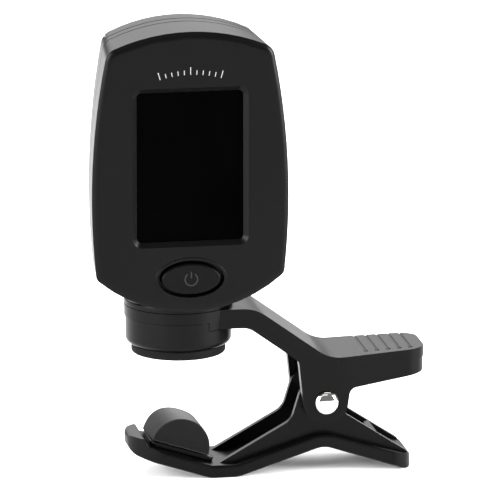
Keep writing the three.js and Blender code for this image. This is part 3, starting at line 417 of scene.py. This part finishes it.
def rivet_head(name, side, node):
    """Polished domed head with a small rim, and half of the shank behind it."""
    seat = pivot + Vector((0.0, side * PIN_HEAD["seat"], 0.0)) * MM
    radius, rim, edge = PIN_HEAD["radius"], PIN_HEAD["rim"], PIN_HEAD["edge"]
    shank, length = PIN_SHANK["radius"], PIN_SHANK["length"]
    profile = [(CENTRE_RADIUS, -length), (shank, -length), (shank, -0.02), (radius - edge, 0.0)]
    profile += ellipse_arc(edge, edge, radius - edge, edge, -60, 0, 4)
    profile += ellipse_arc(radius, PIN_HEAD["height"] - rim, 0.0, rim, 0, 89, 24)
    outward = Vector((0.0, side, 0.0))
    points, faces = lathe(profile, seat, outward, Vector((1.0, 0.0, 0.0)), 72)
    piece = new_piece(name, points, faces, "bright_pin", "lower", node)


JAW_PAD = {"radius": 9.45, "bottom": 24.9, "top": 26.68, "edge": 0.45, "top_edge": 0.2}


def jaw_pad():
    """Round rubber pad under the hub: rounded edges, a slight crown and a shallow groove by the rim."""
    radius, edge = JAW_PAD["radius"], JAW_PAD["edge"]
    thickness = JAW_PAD["top"] - JAW_PAD["bottom"]
    top_edge = JAW_PAD["top_edge"]
    flat = radius - edge
    profile = [(CENTRE_RADIUS, 0.0), (3.0, 0.01), (6.0, 0.03), (flat - 0.9, 0.05), (flat - 0.5, 0.0)]
    profile += ellipse_arc(edge, edge, flat, edge, -90, 0, 6)
    profile += ellipse_arc(top_edge, top_edge, radius - top_edge, thickness - top_edge, 0, 90, 3)
    profile += [(CENTRE_RADIUS, thickness)]
    base = Vector((hub.x, hub.y, JAW_PAD["bottom"] * MM))
    points, faces = lathe(profile, base, Vector((0, 0, 1)), Vector((1, 0, 0)), 96)
    piece = new_piece("hub_pad", points, faces, "pad_rubber", "upper", "upper_jaw_pad")


FOAM = {
    "radius": 5.9, "half_width": 4.5, "edge": 0.5,
    "crown": 0.10,           # how far the end faces swell
    "along": -7.0,           # its middle, from the foot along the jaw
    "base": 3.74,            # its flat side, off the jaw's lower face
    "lean": -0.45,           # shift along the jaw at its middle: none at the near end, twice at the far
    "power": 2.2,            # 2 is a round section, more is squarer
    "power_change": 0.2,     # added at the far end, taken off at the near one
}
JAW_FOOT = Vector((-23.4, 0.0, -14.7))             # where the jaw leaves the floor, from the pin
JAW_ANGLE = math.atan(0.3226)


def foam_outline(shrink, across):
    """The foam's section, round at the near face and squarer at the far one, drawn in by a margin."""
    radius = FOAM["radius"] - shrink
    low = math.degrees(math.asin(shrink / radius))
    power = FOAM["power"] + FOAM["power_change"] * across / FOAM["half_width"]
    arc = []
    for a, b in ellipse_arc(1.0, 1.0, 0.0, 0.0, low, 180 - low, 48):
        reach = radius / (abs(a) ** power + abs(b) ** power) ** (1 / power)
        arc.append((a * reach, b * reach))
    left, right = arc[-1][0], arc[0][0]
    base = [(left + (right - left) * i / 12, shrink) for i in range(1, 12)]
    return arc + base


def on_jaw(along, across, off):
    """A place on the sloping jaw: along the slope, across it, and off its face."""
    x = along * math.cos(JAW_ANGLE) + off * math.sin(JAW_ANGLE)
    z = -along * math.sin(JAW_ANGLE) + off * math.cos(JAW_ANGLE)
    return pivot + (JAW_FOOT + Vector((x, across, z))) * MM


def foam_rings():
    """(across, shrink, scale) of each ring, from the near face's middle round to the far one's."""
    half, edge, crown = FOAM["half_width"], FOAM["edge"], FOAM["crown"]
    face = [(-half - crown * (1 - scale ** 2), edge, scale) for scale in (0.02, 0.25, 0.5, 0.75, 0.92)]
    rounding = [(-half + edge - b, edge - a, 1.0) for a, b in ellipse_arc(edge, edge, 0, 0, 90, 0, 6)]
    wall = [(half * i / 6, 0.0, 1.0) for i in range(-5, 1)]
    near = face + rounding + wall
    return near + [(-across, shrink, scale) for across, shrink, scale in reversed(near[:-1])]


def foam_pad():
    """Half-round foam pad on the lower jaw, its rounded edges and faces gently crowned."""
    points = []
    rings = foam_rings()
    middle = FOAM["radius"] * 0.42
    for across, shrink, scale in rings:
        for along, off in foam_outline(shrink, across):
            place = (along * scale, middle + (off - middle) * scale)
            lean = FOAM["lean"] * (1 + across / FOAM["half_width"])
            points.append(on_jaw(FOAM["along"] + lean + place[0], across, FOAM["base"] + place[1]))
    count = len(points) // len(rings)
    faces = ring_faces(len(rings), count)
    faces.append(tuple(range(count)))
    faces.append(tuple(range(len(points) - count, len(points))))
    points = roughened(points, 900.0, 0.00002)
    piece = new_piece("foam_pad", points, faces, "pad_foam", "lower", "lower_jaw_pad")


SPRING = {"wire": 0.45, "coil": 2.8, "half": 2.9, "turns": 4}    # radii, and half of the coil's length
UPPER_LEG = {"angle": 110, "length": 7.5}
LOWER_LEG = {"angle": 232, "length": 8.6}


def spring_path(steps):
    """Centre line of the torsion spring: leg, coil round the pin, leg."""
    sweep = math.radians(360 * SPRING["turns"] + LOWER_LEG["angle"] - UPPER_LEG["angle"])
    coil_length = sweep * SPRING["coil"]
    total = UPPER_LEG["length"] + coil_length + LOWER_LEG["length"]
    path = []
    for i in range(steps + 1):
        along = total * i / steps - UPPER_LEG["length"]
        on_coil = min(max(along, 0.0), coil_length)
        angle = math.radians(UPPER_LEG["angle"]) + sweep * on_coil / coil_length
        spoke = Vector((math.cos(angle), 0.0, math.sin(angle)))
        heading = Vector((-math.sin(angle), 0.0, math.cos(angle)))
        across = Vector((0.0, SPRING["half"] * (2 * on_coil / coil_length - 1), 0.0))
        path.append((spoke * SPRING["coil"] + across + heading * (along - on_coil), spoke, heading))
    return path


def spring():
    """Round steel wire wound about the pin."""
    sides, steps = 16, 420
    points = []
    for centre, spoke, heading in spring_path(steps):
        side = heading.cross(spoke)
        for i in range(sides):
            angle = 2 * math.pi * i / sides
            rim = spoke * math.cos(angle) + side * math.sin(angle)
            points.append(pivot + (centre + rim * SPRING["wire"]) * MM)
    faces = ring_faces(steps + 1, sides)
    faces.append(tuple(range(sides)))
    faces.append(tuple(range(len(points) - sides, len(points))))
    piece = new_piece("clip_spring", points, faces, "steel", None, "torsion_spring")
    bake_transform(piece)


HEAD_FRONT = -15.5           # the head's face, from the pin's middle
BUTTON = {"z": 43.2, "proud": 0.4}
WINDOW_TOP_Z = 80.9
POWER_MARK = {"radius": 1.25, "line": 0.26, "height": 0.05, "foot": 0.2, "top": 1.55}
SCALE = {"radius": 22.0, "above": 3.6, "steps": 5, "pitch": 3.2, "long": 1.5, "short": 0.9,
         "line": 0.16, "height": 0.01}


def stroke(path, width, front, thickness):
    """Points and faces of a flat line of even width drawn on a face that looks to -Y."""
    points = []
    for i, (x, z) in enumerate(path):
        before, after = Vector(path[max(i - 1, 0)]), Vector(path[min(i + 1, len(path) - 1)])
        run = (after - before).normalized()
        side = Vector((-run.y, run.x)) * width / 2
        for y in (front - thickness, front):
            points.append(Vector((x + side.x, y, z + side.y)))
            points.append(Vector((x - side.x, y, z - side.y)))
    corners = (0, 1, 3, 2)
    faces = []
    for i in range(len(path) - 1):
        for k in range(4):
            here, beside = corners[k], corners[(k + 1) % 4]
            faces.append((i * 4 + here, i * 4 + beside, i * 4 + 4 + beside, i * 4 + 4 + here))
    faces.append(tuple(corners))
    last = (len(path) - 1) * 4
    faces.append(tuple(last + corner for corner in reversed(corners)))
    return points, faces


def drawn(name, strokes, finish, body, origin):
    """One piece made of several strokes, placed in millimetres from an origin."""
    points, faces = [], []
    for some_points, some_faces in strokes:
        faces += [tuple(len(points) + i for i in face) for face in some_faces]
        points += [origin + point * MM for point in some_points]
    return new_piece(name, points, faces, finish, body)


def power_mark():
    """The usual on-off sign, moulded very slightly proud on the button."""
    front = HEAD_FRONT - BUTTON["proud"]
    radius, line, height = POWER_MARK["radius"], POWER_MARK["line"], POWER_MARK["height"]
    origin = Vector((hub.x, pivot.y, BUTTON["z"] * MM))
    ring = stroke(ellipse_arc(radius, radius, 0.0, 0.0, 125, 415, 40), line, front, height)
    upright = stroke([(0.0, POWER_MARK["foot"]), (0.0, POWER_MARK["top"])], line, front, height)
    piece = drawn("power_mark", [ring, upright], "mark_satin", "button", origin)


def scale_print():
    """A plain printed row of tick marks above the window, like a meter's scale."""
    radius, steps = SCALE["radius"], SCALE["steps"]
    strokes = []
    for i in range(-steps, steps + 1):
        angle = math.radians(90 - i * SCALE["pitch"])
        length = SCALE["long"] if i % steps == 0 else SCALE["short"]
        ends = [(reach * math.cos(angle), reach * math.sin(angle) - radius)
                for reach in (radius, radius + length)]
        strokes.append(stroke(ends, SCALE["line"], HEAD_FRONT, SCALE["height"]))
    origin = Vector((hub.x, pivot.y, (WINDOW_TOP_Z + SCALE["above"]) * MM))
    drawn("scale_print", strokes, "print_grey", "head", origin)


make_camera()
finishes = make_finishes()
make_studio()
dress_cad_nodes()
rivet_head("rivet_head", -1, "pivot_pin")
rivet_head("rivet_cap", 1, "pivot_cap")
jaw_pad()
foam_pad()
spring()
power_mark()
scale_print()
